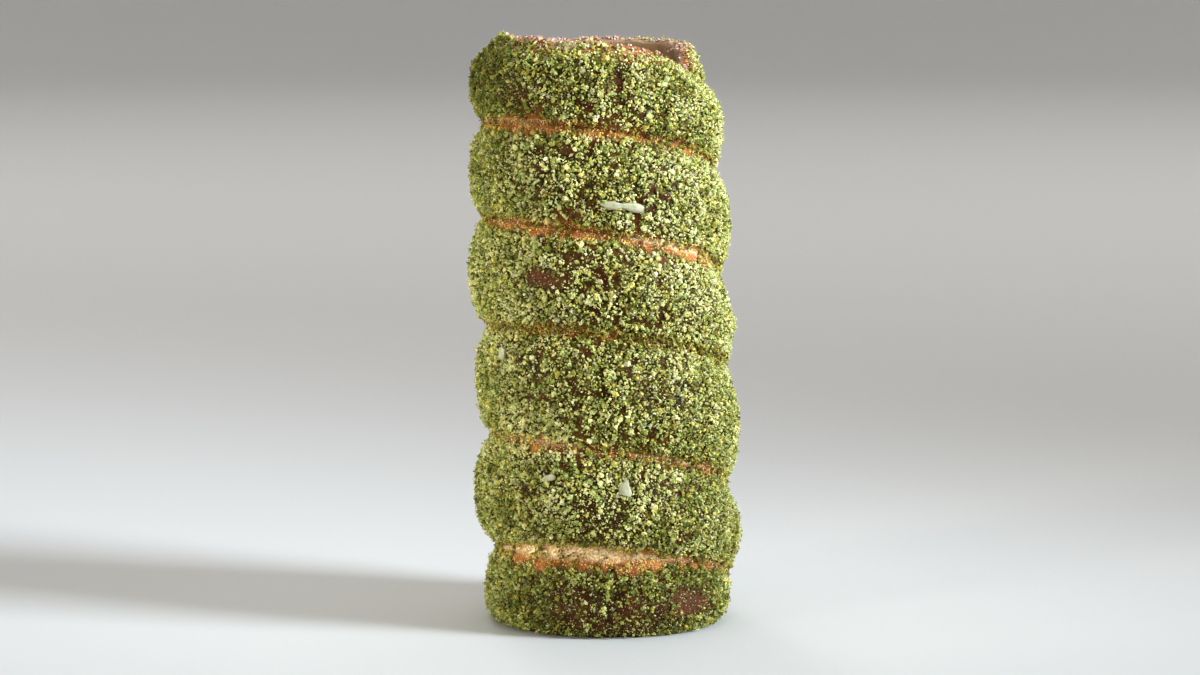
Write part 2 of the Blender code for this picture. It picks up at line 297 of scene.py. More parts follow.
def cloud(points, size, seed):
    """A smooth random value at points, about -1 to 1, with hills about this far apart."""
    table = np.random.default_rng(seed).uniform(-1.6, 1.6, (CLOUD_CELLS,) * 3)
    cell = np.floor(points / size).astype(int)
    share = points / size - cell
    share = share * share * (3 - 2 * share)
    total = np.zeros(points.shape[:-1])
    for corner in np.ndindex(2, 2, 2):
        near = np.prod(np.where(corner, share, 1 - share), axis=-1)
        index = (cell + corner) % CLOUD_CELLS
        total += near * table[index[..., 0], index[..., 1], index[..., 2]]
    return total


def ripple(turn, height, size, seed):
    """The cloud at places on the side, whatever the groove's depth there."""
    return cloud(place(turn, np.full(np.shape(turn), CLOUD_RADIUS), height), size, seed)


def dough_shows(turn, height):
    """(how bare the dough is, how pale it is, how far from the nearest seam), on the side below the rim."""
    whole, top, bottom = band_at(turn, height)
    turns, widths, pales = np.array(BARE_STRIPS).T
    widths = np.maximum(widths, NARROWEST_STRIP)
    wander = STRIP_WANDER * (0.5 * ripple(turn, height, 0.012, 11) + 0.9 * ripple(turn, height, 0.0026, 12))
    below = top - height
    above = height - bottom
    upper_seam, lower_seam = whole + turn, whole + 1 + turn
    under_width = np.interp(upper_seam, turns, widths) / 1000 * (1 - STRIP_ABOVE_SEAM)
    over_width = np.interp(lower_seam, turns, widths) / 1000 * STRIP_ABOVE_SEAM
    under = 1 - smooth_step(-STRIP_EDGE, STRIP_EDGE, below - under_width + wander)
    over = 1 - smooth_step(-STRIP_EDGE, STRIP_EDGE, above - over_width + 0.5 * wander)
    down = (below + 0.0006 * ripple(turn, height, 0.012, 13)) / np.maximum(under_width, 1e-4)
    up = above / np.maximum(over_width, 1e-4)
    under_pale = np.interp(upper_seam, turns, pales) * smooth_step(-0.20, -0.05, down)
    under_pale = under_pale * (1 - smooth_step(0.20, 0.40, down))
    over_pale = np.interp(lower_seam, turns, pales) * (1 - smooth_step(0.45, 0.80, up))
    pale = np.where(below < above, under_pale, over_pale)
    return np.maximum(under, over), pale, np.minimum(below, above)


def thinness(turn, height):
    """How thin the coat is at places on the side, from 0 to 1."""
    thin = np.zeros(np.shape(turn))
    for at_turn, at_height, half_width, half_height, strength in THIN_PATCHES:
        round_the_side = ((turn - at_turn + 0.5) % 1.0 - 0.5) * math.tau * SPIT_RADIUS * 1.5
        off = np.hypot(round_the_side / half_width, (height - at_height) / half_height)
        thin = np.maximum(thin, strength * (1 - smooth_step(0.55, 1.25, off + 0.25 * ripple(turn, height, 0.006, 5))))
    return thin


def coat_cover(points):
    """How thickly the coat lies at points on the dough, from 0 to 1."""
    turn, height = turn_of(points), points[:, 2]
    bare, _, _ = dough_shows(turn, height)
    turns, depths = np.array(RIM_EDGES).T
    edge = np.interp(turn, turns, depths) / 1000 + 0.0012 * ripple(turn, height, 0.004, 21)
    from_rim = smooth_step(-0.0008, 0.0012, rim_height(turn) - height - edge)
    outside = smooth_step(0.0322, 0.0340, np.hypot(points[:, 0] - lean(height), points[:, 1])) * (height > 0.0008)
    lying = np.maximum(1 - bare, smooth_step(-0.4, 1.0, ripple(turn, height, STRAYS_ACROSS, 33)))
    return lying * (1 - BARED * thinness(turn, height)) * from_rim * outside


def evenness(points):
    """How dense and even the coat is, from 0 to about 1."""
    even = np.zeros(len(points))
    for turn, half_width, amount in EVEN_TURNS:
        off = ((turn_of(points) - turn + 0.5) % 1.0 - 0.5) / half_width
        even += amount * np.exp(-(off**2))
    return even


def heaped(points):
    """How the coat gathers into heaps with gaps between, from 0 to 1."""
    height = cloud(points, HEAP_ACROSS, 31) + 0.3 * cloud(points, 0.009, 32) + evenness(points)
    return smooth_step(-1.05, -0.25, height)


def painted_light_and_shade(points):
    """How much lighter or darker the coat is painted in broad zones: painted light and shade."""
    shift = np.zeros(len(points))
    for turn, height, half_width, half_height, amount in LIGHT_AND_SHADE_ZONES:
        round_the_side = ((turn_of(points) - turn + 0.5) % 1.0 - 0.5) * math.tau * CLOUD_RADIUS
        off = np.hypot(round_the_side / half_width, (points[:, 2] - height) / half_height)
        shift += amount * np.exp(-(off**2))
    return shift


def new_piece(name, mesh, material, smooth):
    """An object at the origin from a mesh, riding on the cake's one body."""
    obj = bpy.data.objects.new(name, mesh)
    bpy.context.scene.collection.objects.link(obj)
    mesh.materials.clear()
    mesh.materials.append(material)
    if smooth:
        mesh.shade_smooth()
    else:
        mesh.shade_flat()
    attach(obj, "root")
    return obj


def vertex_array(mesh, field="co"):
    values = np.empty(len(mesh.vertices) * 3, dtype=np.float32)
    if field == "co":
        mesh.vertices.foreach_get("co", values)
    else:
        mesh.vertex_normals.foreach_get("vector", values)
    return values.reshape(-1, 3).astype(float)


def write_attribute(mesh, name, values):
    attribute = mesh.attributes.new(name, "FLOAT", "POINT")
    attribute.data.foreach_set("value", np.asarray(values, dtype=np.float32))


def dough_point(turn, row):
    """Where a row of the closed dough surface lies: down the side, round the foot, up the bore and over the rim."""
    side_rows = ROWS_PER_BAND * BANDS
    wound = row / ROWS_PER_BAND
    whole = np.minimum(np.floor(wound + 1e-6), BANDS - 1)
    share = wound - whole
    above, below = seam_height(whole - TURNS_ABOVE + turn), seam_height(whole - TURNS_ABOVE + 1 + turn)
    rim = rim_height(turn)
    height = np.clip((1 - share) * above + share * below, 0.0, rim - MOUTH_ROUNDING)
    bare, _, _ = dough_shows(turn, height)
    free_of_ends = smooth_step(0.0, 0.006, rim - height) * smooth_step(0.0, 0.010, height)
    coat = COAT_DEPTH * (1 - bare) * smooth_step(MOUTH_ROUNDING, 0.0045, rim - height)
    relief = SKIN_RELIEF * (ripple(turn, height, 0.0045, 41) + 0.6 * ripple(turn, height, 0.0022, 42))
    hills = HILL * coat / COAT_DEPTH * ripple(turn, height, HILL_ACROSS, 43)
    radius = coat_radius(turn, height) - coat + relief + hills
    band_whole, top, bottom = band_at(turn, height)
    down = np.clip((top - height) / (top - bottom), 0.0, 1.0)
    lip = 7.6 * down**5 * (1 - down) ** 0.8
    side = place(turn, radius, height)
    side[..., 2] -= LIP_SAG * lip * (1 - 0.8 * bare) * free_of_ends

    sweep = np.clip((row - side_rows) / FOOT_ROWS, 0, 1)
    foot_radius = coat_radius(turn, np.zeros_like(turn)) - COAT_DEPTH
    foot = place(turn, foot_radius + (SPIT_RADIUS + MOUTH_ROUNDING - foot_radius) * sweep, np.zeros_like(turn))

    climb = np.clip((row - side_rows - FOOT_ROWS) / BORE_ROWS, 0, 1)
    bore_height = climb * (rim - MOUTH_ROUNDING)
    _, top, bottom = band_at(turn, bore_height)
    from_seam = np.minimum(top - bore_height, bore_height - bottom)
    mouth = MOUTH_ROUNDING * np.maximum(1 - bore_height / MOUTH_ROUNDING, 0.0)
    groove = BORE_GROOVE * np.exp(-((from_seam / BORE_GROOVE_WIDTH) ** 2)) * smooth_step(0, 0.004, bore_height)
    bore = place(turn, SPIT_RADIUS + mouth + groove, bore_height)

    arc = math.pi * np.clip((row - side_rows - FOOT_ROWS - BORE_ROWS) / RIM_ROWS, 0, 1)
    rim_outer = coat_radius(turn, rim - MOUTH_ROUNDING) + relief
    middle, half = (rim_outer + SPIT_RADIUS) / 2, (rim_outer - SPIT_RADIUS) / 2
    crumple = 0.0005 * ripple(turn, rim, 0.006, 51)
    crest_height = rim - MOUTH_ROUNDING + (RIM_CREST + crumple) * np.sin(arc)
    crest = place(turn, middle - half * np.cos(arc), crest_height)

    row = row[..., None]
    point = np.where(row <= side_rows, side, foot)
    point = np.where(row > side_rows + FOOT_ROWS, bore, point)
    return np.where(row > side_rows + FOOT_ROWS + BORE_ROWS, crest, point)


def build_dough(material):
    """The wound and baked dough, one closed surface."""
    rows = ROWS_PER_BAND * BANDS + FOOT_ROWS + BORE_ROWS + RIM_ROWS
    sheet = bmesh.new()
    bmesh.ops.create_grid(sheet, x_segments=COLUMNS, y_segments=rows, size=0.5)
    mesh = bpy.data.meshes.new("dough")
    sheet.to_mesh(mesh)
    sheet.free()
    flat = vertex_array(mesh)
    turn = np.round((flat[:, 0] + 0.5) * COLUMNS) / COLUMNS
    row = np.round((flat[:, 1] + 0.5) * rows)
    wrapped = dough_point(turn, row)
    mesh.vertices.foreach_set("co", wrapped.astype(np.float32).ravel())

    shell = bmesh.new()
    shell.from_mesh(mesh)
    bmesh.ops.remove_doubles(shell, verts=shell.verts, dist=MERGE)
    bmesh.ops.recalc_face_normals(shell, faces=shell.faces)
    shell.to_mesh(mesh)
    shell.free()

    points = vertex_array(mesh)
    turn, height = turn_of(points), points[:, 2]
    radius = np.hypot(points[:, 0] - lean(height), points[:, 1])
    inside = 1 - smooth_step(SPIT_RADIUS + 0.0012, SPIT_RADIUS + 0.0030, radius)
    bare, pale, from_seam = dough_shows(turn, height)
    rim = smooth_step(-0.0070, -0.0030, height - rim_height(turn)) * (1 - inside)
    write_attribute(mesh, "bare", bare * (1 - inside))
    # painted shade: the dough is made darker close to each seam, in the crease under the band above
    write_attribute(mesh, "deep", 1 - smooth_step(0.0, 0.0014, from_seam))
    write_attribute(mesh, "powder", coat_cover(points) * heaped(points))
    write_attribute(mesh, "pale", pale * bare)
    write_attribute(mesh, "inside", inside)
    write_attribute(mesh, "thin", thinness(turn, height))
    write_attribute(mesh, "rim", rim)
    write_attribute(mesh, "shoulder", 1 - smooth_step(0.001, 0.011, from_seam))
    dough = new_piece("dough", mesh, material, smooth=True)
    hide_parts("chimney_cake")
    return dough


class Surface:
    """The outside of the dough, as triangles to scatter on."""

    def __init__(self, mesh):
        mesh.calc_loop_triangles()
        corners = np.empty(len(mesh.loop_triangles) * 3, dtype=np.int32)
        mesh.loop_triangles.foreach_get("vertices", corners)
        self.corners = corners.reshape(-1, 3)
        self.points = vertex_array(mesh)
        self.normals = vertex_array(mesh, "normal")
        a, b, c = (self.points[self.corners[:, k]] for k in range(3))
        self.area = np.linalg.norm(np.cross(b - a, c - a), axis=1) / 2

    def scatter(self, count, weight, draw):
        """Random places, as (points, normals), where the weight at each vertex says how likely a place is."""
        likely = np.cumsum(self.area * weight[self.corners].mean(axis=1))
        chosen = np.searchsorted(likely, draw.random(count) * likely[-1])
        first, second = draw.random(count), draw.random(count)
        folded = first + second > 1
        first[folded], second[folded] = 1 - first[folded], 1 - second[folded]
        shares = np.stack([1 - first - second, first, second], axis=1)[:, :, None]
        corners = self.corners[chosen]
        normals = (self.normals[corners] * shares).sum(axis=1)
        normals /= np.linalg.norm(normals, axis=1, keepdims=True)
        return (self.points[corners] * shares).sum(axis=1), normals


def thinned(points, spacing, most):
    """Indices of the points that are kept, so that no two lie nearer than the spacing."""
    taken, kept = {}, []
    cells = np.floor(points / spacing).astype(int).tolist()
    for index, (point, cell) in enumerate(zip(points.tolist(), cells)):
        near = (
            taken.get((cell[0] + i, cell[1] + j, cell[2] + k), ())
            for i in (-1, 0, 1) for j in (-1, 0, 1) for k in (-1, 0, 1)
        )
        if any(math.dist(point, other) < spacing for others in near for other in others):
            continue
        taken.setdefault(tuple(cell), []).append(point)
        kept.append(index)
        if len(kept) == most:
            break
    return np.array(kept)


def chip(corners, draw, flatness=1.0):
    """(points, triangles) of one broken crumb about 1 across: the hull of a few points round a ball."""
    mesh = bmesh.new()
    for index in range(corners):
        rise = 1 - 2 * (index + 0.5) / corners
        around = index * math.pi * (3 - math.sqrt(5)) + draw.uniform(-0.5, 0.5)
        out = math.sqrt(1 - rise * rise)
        mesh.verts.new((out * math.cos(around), out * math.sin(around), rise))
    bmesh.ops.convex_hull(mesh, input=mesh.verts)
    bmesh.ops.triangulate(mesh, faces=mesh.faces)
    bmesh.ops.recalc_face_normals(mesh, faces=mesh.faces)
    mesh.verts.index_update()
    points = np.array([v.co for v in mesh.verts]) * 0.5 * draw.uniform(0.74, 1.12, (corners, 1))
    points[:, 2] *= flatness
    triangles = np.array([[v.index for v in f.verts] for f in mesh.faces])
    mesh.free()
    return points, triangles


def random_turns(count, draw):
    """Random rotations, as 3 by 3 matrices."""
    w, x, y, z = (draw.normal(size=(count, 4))).T
    length = np.sqrt(w * w + x * x + y * y + z * z)
    w, x, y, z = w / length, x / length, y / length, z / length
    return np.stack(
        [
            np.stack([1 - 2 * (y * y + z * z), 2 * (x * y - w * z), 2 * (x * z + w * y)], -1),
            np.stack([2 * (x * y + w * z), 1 - 2 * (x * x + z * z), 2 * (y * z - w * x)], -1),
            np.stack([2 * (x * z - w * y), 2 * (y * z + w * x), 1 - 2 * (x * x + y * y)], -1),
        ],
        axis=1,
    )


def lying_turns(normals, draw):
    """Rotations that lay a flake's Z nearly along the normal, each turned at random about it."""
    tilted = normals + draw.normal(scale=0.25, size=normals.shape)
    tilted /= np.linalg.norm(tilted, axis=1, keepdims=True)
    side = np.cross(tilted, draw.normal(size=normals.shape))
    side /= np.linalg.norm(side, axis=1, keepdims=True)
    return np.stack([side, np.cross(tilted, side), tilted], axis=2)


def joined_crumbs(name, shapes, centres, sizes, turns, tones, material, draw):
    """One mesh of many crumbs, each a copy of one of the shapes, scaled and turned, with a tone of its own."""
    which = draw.integers(len(shapes), size=len(centres))
    own = {"tone": tones, "hue": draw.random(len(centres)), "warm": warmth(centres)}
    all_points, all_triangles, all_own, start = [], [], {key: [] for key in own}, 0
    for number, (points, triangles) in enumerate(shapes):
        mine = which == number
        count = int(mine.sum())
        stretched = points[None] * sizes[mine][:, None, :]
        moved = np.einsum("nij,nkj->nki", turns[mine], stretched) + centres[mine][:, None, :]
        offsets = start + np.arange(count)[:, None, None] * len(points)
        all_points.append(moved.reshape(-1, 3))
        all_triangles.append((triangles[None] + offsets).reshape(-1, 3))
        for key, values in own.items():
            all_own[key].append(np.repeat(values[mine], len(points)))
        start += count * len(points)
    points, triangles = np.concatenate(all_points), np.concatenate(all_triangles)
    mesh = bpy.data.meshes.new(name)
    mesh.vertices.add(len(points))
    mesh.vertices.foreach_set("co", points.astype(np.float32).ravel())
    mesh.loops.add(len(triangles) * 3)
    mesh.loops.foreach_set("vertex_index", triangles.astype(np.int32).ravel())
    mesh.polygons.add(len(triangles))
    mesh.polygons.foreach_set("loop_start", np.arange(0, len(triangles) * 3, 3, dtype=np.int32))
    mesh.update(calc_edges=True)
    for key, values in all_own.items():
        write_attribute(mesh, key, np.concatenate(values))
    return new_piece(name, mesh, material, smooth=False)


def above_floor(centres, sizes):
    """Keeps the crumbs clear of the surface that the cake stands on."""
    reach = sizes.max(axis=1) * 0.62
    centres[:, 2] = np.maximum(centres[:, 2], reach)
    return centres


def clump(points):
    """Neighbouring crumbs share something of their tone."""
    return 0.6 * cloud(points, 0.010, 61) + cloud(points, HEAP_ACROSS, 62)


def groove_shade(points):
    """How much darker the crumbs are painted down in the grooves: painted shade in the creases between the bands."""
    _, _, from_seam = dough_shows(turn_of(points), points[:, 2])
    return GROOVE_SHADE * (1 - smooth_step(0.0006, 0.0042, from_seam))


def warmth(points):
    """How far crumbs are stained by the caramel of a bare strip near them, from 0 to 1."""
    turn = turn_of(points)
    bare, _, from_seam = dough_shows(turn, points[:, 2])
    return np.maximum(bare, 0.5 * (1 - smooth_step(0.0006, 0.0040, from_seam)))


def build_crumbs(surface, cover, material):
    """The coarse and the medium crumbs of the coat, as (centres, across, tones, normals) of them all."""
    laid = []
    for number, (name, pieces, per_piece, corners, smallest, largest, spacing, lift) in enumerate(CRUMBS):
        draw = np.random.default_rng(100 + number)
        shapes = [chip(corners, draw) for _ in range(14)]
        wanted = pieces * per_piece
        points, normals = surface.scatter(wanted * 4, cover, draw)
        kept = thinned(points, spacing, wanted * 2)
        kept = kept[draw.random(len(kept)) < np.minimum(coat_cover(points[kept]), 0.08 + 0.92 * heaped(points[kept]))]
        points, normals = points[kept[:wanted]], normals[kept[:wanted]]
        across = smallest + (largest - smallest) * draw.random(len(points)) ** 1.5
        sizes = across[:, None] * draw.uniform(0.80, 1.20, (len(points), 3))
        rise = lift + HEAP * heaped(points) * draw.random(len(points))
        centres = above_floor(points + normals * rise[:, None], sizes)
        spread = (draw.normal(0.0, 0.13, len(points)) + 0.15 * clump(points)) * (1 - EVEN_TONES * evenness(points))
        # the tone takes painted light and shade in broad zones and painted shade in the grooves
        tones = np.clip(0.51 + spread + painted_light_and_shade(points) - groove_shade(points), 0.0, 1.0)
        laid.append((centres, across, tones, normals))
        turns = random_turns(len(points), draw)
        for part in range(pieces):
            mine = slice(part, None, pieces)
            title = name if pieces == 1 else f"{name}_{part + 1}"
            made = joined_crumbs(title, shapes, centres[mine], sizes[mine], turns[mine], tones[mine], material, draw)
            print(title, len(centres[mine]), "crumbs,", len(made.data.polygons), "triangles")
    return [np.concatenate(values) for values in zip(*laid)]


def build_grains(surface, cover, crumbs, material):
    """Fine grains that cling to the crumbs and lie between them."""
    pieces, per_piece, smallest, largest = GRAINS
    draw = np.random.default_rng(151)
    shapes = [chip(5, draw) for _ in range(10)]
    hosts, host_sizes, host_tones, host_normals = crumbs
    between = int(pieces * per_piece * GRAINS_BETWEEN)
    clinging = pieces * per_piece - between
    chosen = draw.choice(len(hosts), clinging, p=host_sizes**2 / np.sum(host_sizes**2))
    away = draw.normal(size=(clinging, 3)) + 0.9 * host_normals[chosen]
    away /= np.linalg.norm(away, axis=1, keepdims=True)
    reach = host_sizes[chosen] * draw.uniform(0.42, 0.72, clinging)
    points, normals = surface.scatter(between, cover, draw)
    centres = np.concatenate([hosts[chosen] + away * reach[:, None], points + 0.0002 * normals])
    # painted light and shade in broad zones shift these tones too
    tones = np.concatenate([host_tones[chosen], 0.42 + 0.14 * clump(points) + painted_light_and_shade(points)])
    spread = draw.normal(0.06, 0.19, len(tones)) * (1 - EVEN_TONES * evenness(centres))
    tones = np.clip(tones + spread, 0.0, 1.0)
    across = smallest + (largest - smallest) * draw.random(len(centres)) ** 1.3
    sizes = across[:, None] * draw.uniform(0.75, 1.25, (len(centres), 3))
    centres = above_floor(centres, sizes)
    turns = random_turns(len(centres), draw)
    for part in range(pieces):
        mine = slice(part, None, pieces)
        title = f"pistachio_grains_{part + 1}"
        made = joined_crumbs(title, shapes, centres[mine], sizes[mine], turns[mine], tones[mine], material, draw)


def strewn(surface, kind, weight, draw):
    """(points, normals, sizes) of one kind of small thing on the side."""
    count, smallest, largest, least, most = kind
    points, normals = surface.scatter(count, weight, draw)
    sizes = draw.uniform(smallest, largest, (len(points), 1)) * draw.uniform(least, most, (len(points), 3))
    return points, normals, sizes


def build_dust(surface, cover, material):
    """Fine pistachio dust on the bare strips and in the gaps."""
    draw = np.random.default_rng(201)
    shapes = [chip(5, draw) for _ in range(8)]
    _, pale, _ = dough_shows(turn_of(surface.points), surface.points[:, 2])
    thin = thinness(turn_of(surface.points), surface.points[:, 2])
    weight = surface_side(surface) * (0.03 + 0.97 * (1 - cover)) * (1 - 0.75 * pale) * (1 - 0.85 * thin)
    points, normals, sizes = strewn(surface, DUST, weight, draw)
    centres = above_floor(points + normals * 0.0001, sizes)
    tones = np.clip(draw.normal(0.66, 0.16, len(points)), 0, 1)
    turns = random_turns(len(points), draw)
    made = joined_crumbs("pistachio_dust", shapes, centres, sizes, turns, tones, material, draw)


def surface_side(surface):
    """1 on the outside of the cake, 0 in the bore, under the foot and on the rim's inner half."""
    points = surface.points
    radius = np.hypot(points[:, 0] - lean(points[:, 2]), points[:, 1])
    return smooth_step(0.0322, 0.0340, radius) * (points[:, 2] > 0.0008)


def build_nut_skin(surface, cover, material):
    """Purple-brown flakes of nut skin among the crumbs."""
    draw = np.random.default_rng(301)
    shapes = [chip(6, draw, flatness=0.35) for _ in range(8)]
    points, normals, sizes = strewn(surface, NUT_SKIN, cover, draw)
    rise = 0.0005 + draw.random(len(points)) * 0.0007
    centres = above_floor(points + normals * rise[:, None], sizes)
    tones = draw.random(len(points))
    made = joined_crumbs("nut_skin", shapes, centres, sizes, lying_turns(normals, draw), tones, material, draw)


def build_sugar(surface, material, rim_material):
    """Sugar: clusters of caramel-tinged crystals along the rim, and fine grains over the whole side."""
    draw = np.random.default_rng(401)
    crystal = bmesh.new()
    bmesh.ops.create_cube(crystal, size=1.0)
    bmesh.ops.triangulate(crystal, faces=crystal.faces)
    crystal.verts.index_update()
    corners = np.array([v.co for v in crystal.verts])
    triangles = np.array([[v.index for v in f.verts] for f in crystal.faces])
    crystal.free()
    shapes = [(corners * draw.uniform(0.75, 1.1, (8, 1)), triangles) for _ in range(8)]
    height = surface.points[:, 2]
    near_rim = smooth_step(-0.0050, -0.0006, height - rim_height(turn_of(surface.points)))
    radius = np.hypot(surface.points[:, 0] - lean(height), surface.points[:, 1])
    on_crest = smooth_step(SPIT_RADIUS + 0.0006, SPIT_RADIUS + 0.0018, radius)
    clustered = smooth_step(0.1, 0.9, cloud(surface.points, 0.0045, 71))
    weight = near_rim * (0.04 + 0.96 * on_crest) * (0.06 + 0.94 * clustered)
    points, normals, sizes = strewn(surface, RIM_SUGAR, weight, draw)
    centres = points + normals * draw.uniform(0.0, 0.0006, (len(points), 1))
    tones, turns = draw.random(len(points)), random_turns(len(points), draw)
    made = joined_crumbs("rim_sugar", shapes, centres, sizes, turns, tones, rim_material, draw)

    shapes = [chip(5, draw) for _ in range(8)]
    thin = thinness(turn_of(surface.points), surface.points[:, 2])
    points, normals, sizes = strewn(surface, SIDE_SUGAR, surface_side(surface) * (1 - 0.6 * thin), draw)
    bare, _, _ = dough_shows(turn_of(points), points[:, 2])
    rise = (1 - bare) * draw.uniform(0.0003, 0.0014, len(points)) + 0.0001
    centres = above_floor(points + normals * rise[:, None], sizes)
    tones, turns = draw.uniform(-0.4, 0.8, len(points)), random_turns(len(points), draw)
    made = joined_crumbs("side_sugar", shapes, centres, sizes, turns, tones, material, draw)


def build_almonds(material):
    """The slivers of blanched almond, each a thin waisted strip that follows the side."""
    shell = bmesh.new()
    for turn, height, length, width, thickness, roll, widths in ALMONDS:
        strip = bmesh.new()
        bmesh.ops.create_grid(strip, x_segments=18, y_segments=6, size=0.5)
        made = bmesh.ops.extrude_face_region(strip, geom=strip.faces[:])["geom"]
        bmesh.ops.translate(strip, vec=(0, 0, 1), verts=[g for g in made if isinstance(g, bmesh.types.BMVert)])
        bmesh.ops.recalc_face_normals(strip, faces=strip.faces)
        cosine, sine = math.cos(math.radians(roll)), math.sin(math.radians(roll))
        radius = float(coat_radius(np.array(turn), np.array(height)))
        for vert in strip.verts:
            along, across, up = vert.co.x * 2, vert.co.y * 2, vert.co.z
            narrow = float(eased(widths, np.array((along + 1) / 2 * (len(widths) - 1))))
            bow = 0.16 * math.sin(2.4 * along + 0.6)
            x = along * length / 2
            y = (across * narrow + bow) * width / 2
            domed = (up - 0.35) * thickness * (1 - 0.45 * across**6) * (0.8 + 0.2 * narrow)
            right, rise = x * cosine - y * sine, x * sine + y * cosine
            at = place(np.array(turn + right / (math.tau * radius)), np.array(radius + domed), np.array(height + rise))
            vert.co = Vector(at)
        for edge in strip.edges:
            edge.smooth = edge.calc_face_angle(0.0) < SLIVER_CREASE
        part = bpy.data.meshes.new("sliver")
        strip.to_mesh(part)
        strip.free()
        shell.from_mesh(part)
        bpy.data.meshes.remove(part)
    mesh = bpy.data.meshes.new("almond_slivers")
    shell.to_mesh(mesh)
    shell.free()
    made = new_piece("almond_slivers", mesh, material, smooth=True)


def new_material(name, roughness, specular=0.5):
    """(material, node tree, its Principled BSDF), with the plain values set."""
    material = bpy.data.materials.new(name)
    material.use_nodes = True
    shader = material.node_tree.nodes["Principled BSDF"]
    shader.inputs["Roughness"].default_value = roughness
    shader.inputs["Specular IOR Level"].default_value = specular
    return material, material.node_tree, shader


def mottle_group():
    """A node group for a fine mottle: a tone shifted speck by speck, and the grain itself for a bump."""
    group = bpy.data.node_groups.new("mottle", "ShaderNodeTree")
    for name, value in (("Tone", 0.5), ("Scale", 1000.0), ("Detail", 2.0), ("Swing", 0.2)):
        group.interface.new_socket(name, in_out="INPUT", socket_type="NodeSocketFloat").default_value = value
    for name in ("Tone", "Grain"):
        group.interface.new_socket(name, in_out="OUTPUT", socket_type="NodeSocketFloat")
    given, put_out = group.nodes.new("NodeGroupInput"), group.nodes.new("NodeGroupOutput")
    speck = group.nodes.new("ShaderNodeTexNoise")
    speck.inputs["Roughness"].default_value = 0.55
    group.links.new(object_point(group), speck.inputs["Vector"])
    for name in ("Scale", "Detail"):
        group.links.new(given.outputs[name], speck.inputs[name])
    shift = group.nodes.new("ShaderNodeMath")
    shift.operation = "MULTIPLY"
    group.links.new(ranged(group, speck.outputs["Fac"], 0.25, 0.75, -1.0, 1.0), shift.inputs[0])
    group.links.new(given.outputs["Swing"], shift.inputs[1])
    group.links.new(arithmetic(group, "ADD", given.outputs["Tone"], shift.outputs[0]), put_out.inputs["Tone"])
    group.links.new(speck.outputs["Fac"], put_out.inputs["Grain"])
    return group


def mottled(tree, tone, scale, swing, detail=2.0):
    """(the tone with the mottle on it, the grain) from the mottle group, where the tone is a value or a socket."""
    made = tree.nodes.new("ShaderNodeGroup")
    made.node_tree = bpy.data.node_groups.get("mottle") or mottle_group()
    made.inputs["Scale"].default_value = scale
    made.inputs["Swing"].default_value = swing
    made.inputs["Detail"].default_value = detail
    if isinstance(tone, float):
        made.inputs["Tone"].default_value = tone
    else:
        tree.links.new(tone, made.inputs["Tone"])
    return made.outputs["Tone"], made.outputs["Grain"]


def attribute(tree, name):
    made = tree.nodes.new("ShaderNodeAttribute")
    made.attribute_name = name
    return made.outputs["Fac"]


def object_point(tree):
    return tree.nodes.new("ShaderNodeTexCoord").outputs["Object"]


def noise(tree, scale):
    made = tree.nodes.new("ShaderNodeTexNoise")
    made.inputs["Scale"].default_value = scale
    made.inputs["Detail"].default_value = 3.0
    made.inputs["Roughness"].default_value = 0.55
    tree.links.new(object_point(tree), made.inputs["Vector"])
    return made.outputs["Fac"]


def blend(tree, share, first, second):
    """A mix of two colours, where each is a colour or a socket."""
    made = tree.nodes.new("ShaderNodeMix")
    made.data_type = "RGBA"
    for socket, value in zip((made.inputs["Factor"], made.inputs[6], made.inputs[7]), (share, first, second)):
        if isinstance(value, (tuple, float)):
            socket.default_value = value
        else:
            tree.links.new(value, socket)
    return made.outputs[2]


def arithmetic(tree, operation, *values):
    made = tree.nodes.new("ShaderNodeMath")
    made.operation = operation
    made.use_clamp = True
    for socket, value in zip(made.inputs, values):
        if isinstance(value, (int, float)):
            socket.default_value = value
        else:
            tree.links.new(value, socket)
    return made.outputs[0]


def ranged(tree, value, low, high, to_low=0.0, to_high=1.0):
    made = tree.nodes.new("ShaderNodeMapRange")
    made.interpolation_type = "SMOOTHSTEP"
    tree.links.new(value, made.inputs["Value"])
    for name, number in (("From Min", low), ("From Max", high), ("To Min", to_low), ("To Max", to_high)):
        made.inputs[name].default_value = number
    return made.outputs["Result"]


def ramp(tree, value, stops):
    made = tree.nodes.new("ShaderNodeValToRGB")
    while len(made.color_ramp.elements) < len(stops):
        made.color_ramp.elements.new(0.5)
    for element, (position, colour) in zip(made.color_ramp.elements, stops):
        element.position = position
        element.color = colour
    tree.links.new(value, made.inputs["Fac"])
    return made.outputs["Color"]


def shaded(tree, value, shades):
    """A ramp at even steps through shades as seen on screen."""
    return ramp(tree, value, [(number / (len(shades) - 1), srgb(*shade)) for number, shade in enumerate(shades)])


def bumped(tree, shader, height, strength, distance):
    made = tree.nodes.new("ShaderNodeBump")
    made.inputs["Strength"].default_value = strength
    made.inputs["Distance"].default_value = distance
    tree.links.new(height, made.inputs["Height"])
    tree.links.new(made.outputs["Normal"], shader.inputs["Normal"])


def grit(tree, scale):
    """A plain value for each small cell of a surface, 0 to 1, as in fine rubble."""
    made = tree.nodes.new("ShaderNodeTexVoronoi")
    made.inputs["Scale"].default_value = scale
    tree.links.new(object_point(tree), made.inputs["Vector"])
    apart = tree.nodes.new("ShaderNodeSeparateColor")
    tree.links.new(made.outputs["Color"], apart.inputs["Color"])
    return apart.outputs["Red"]


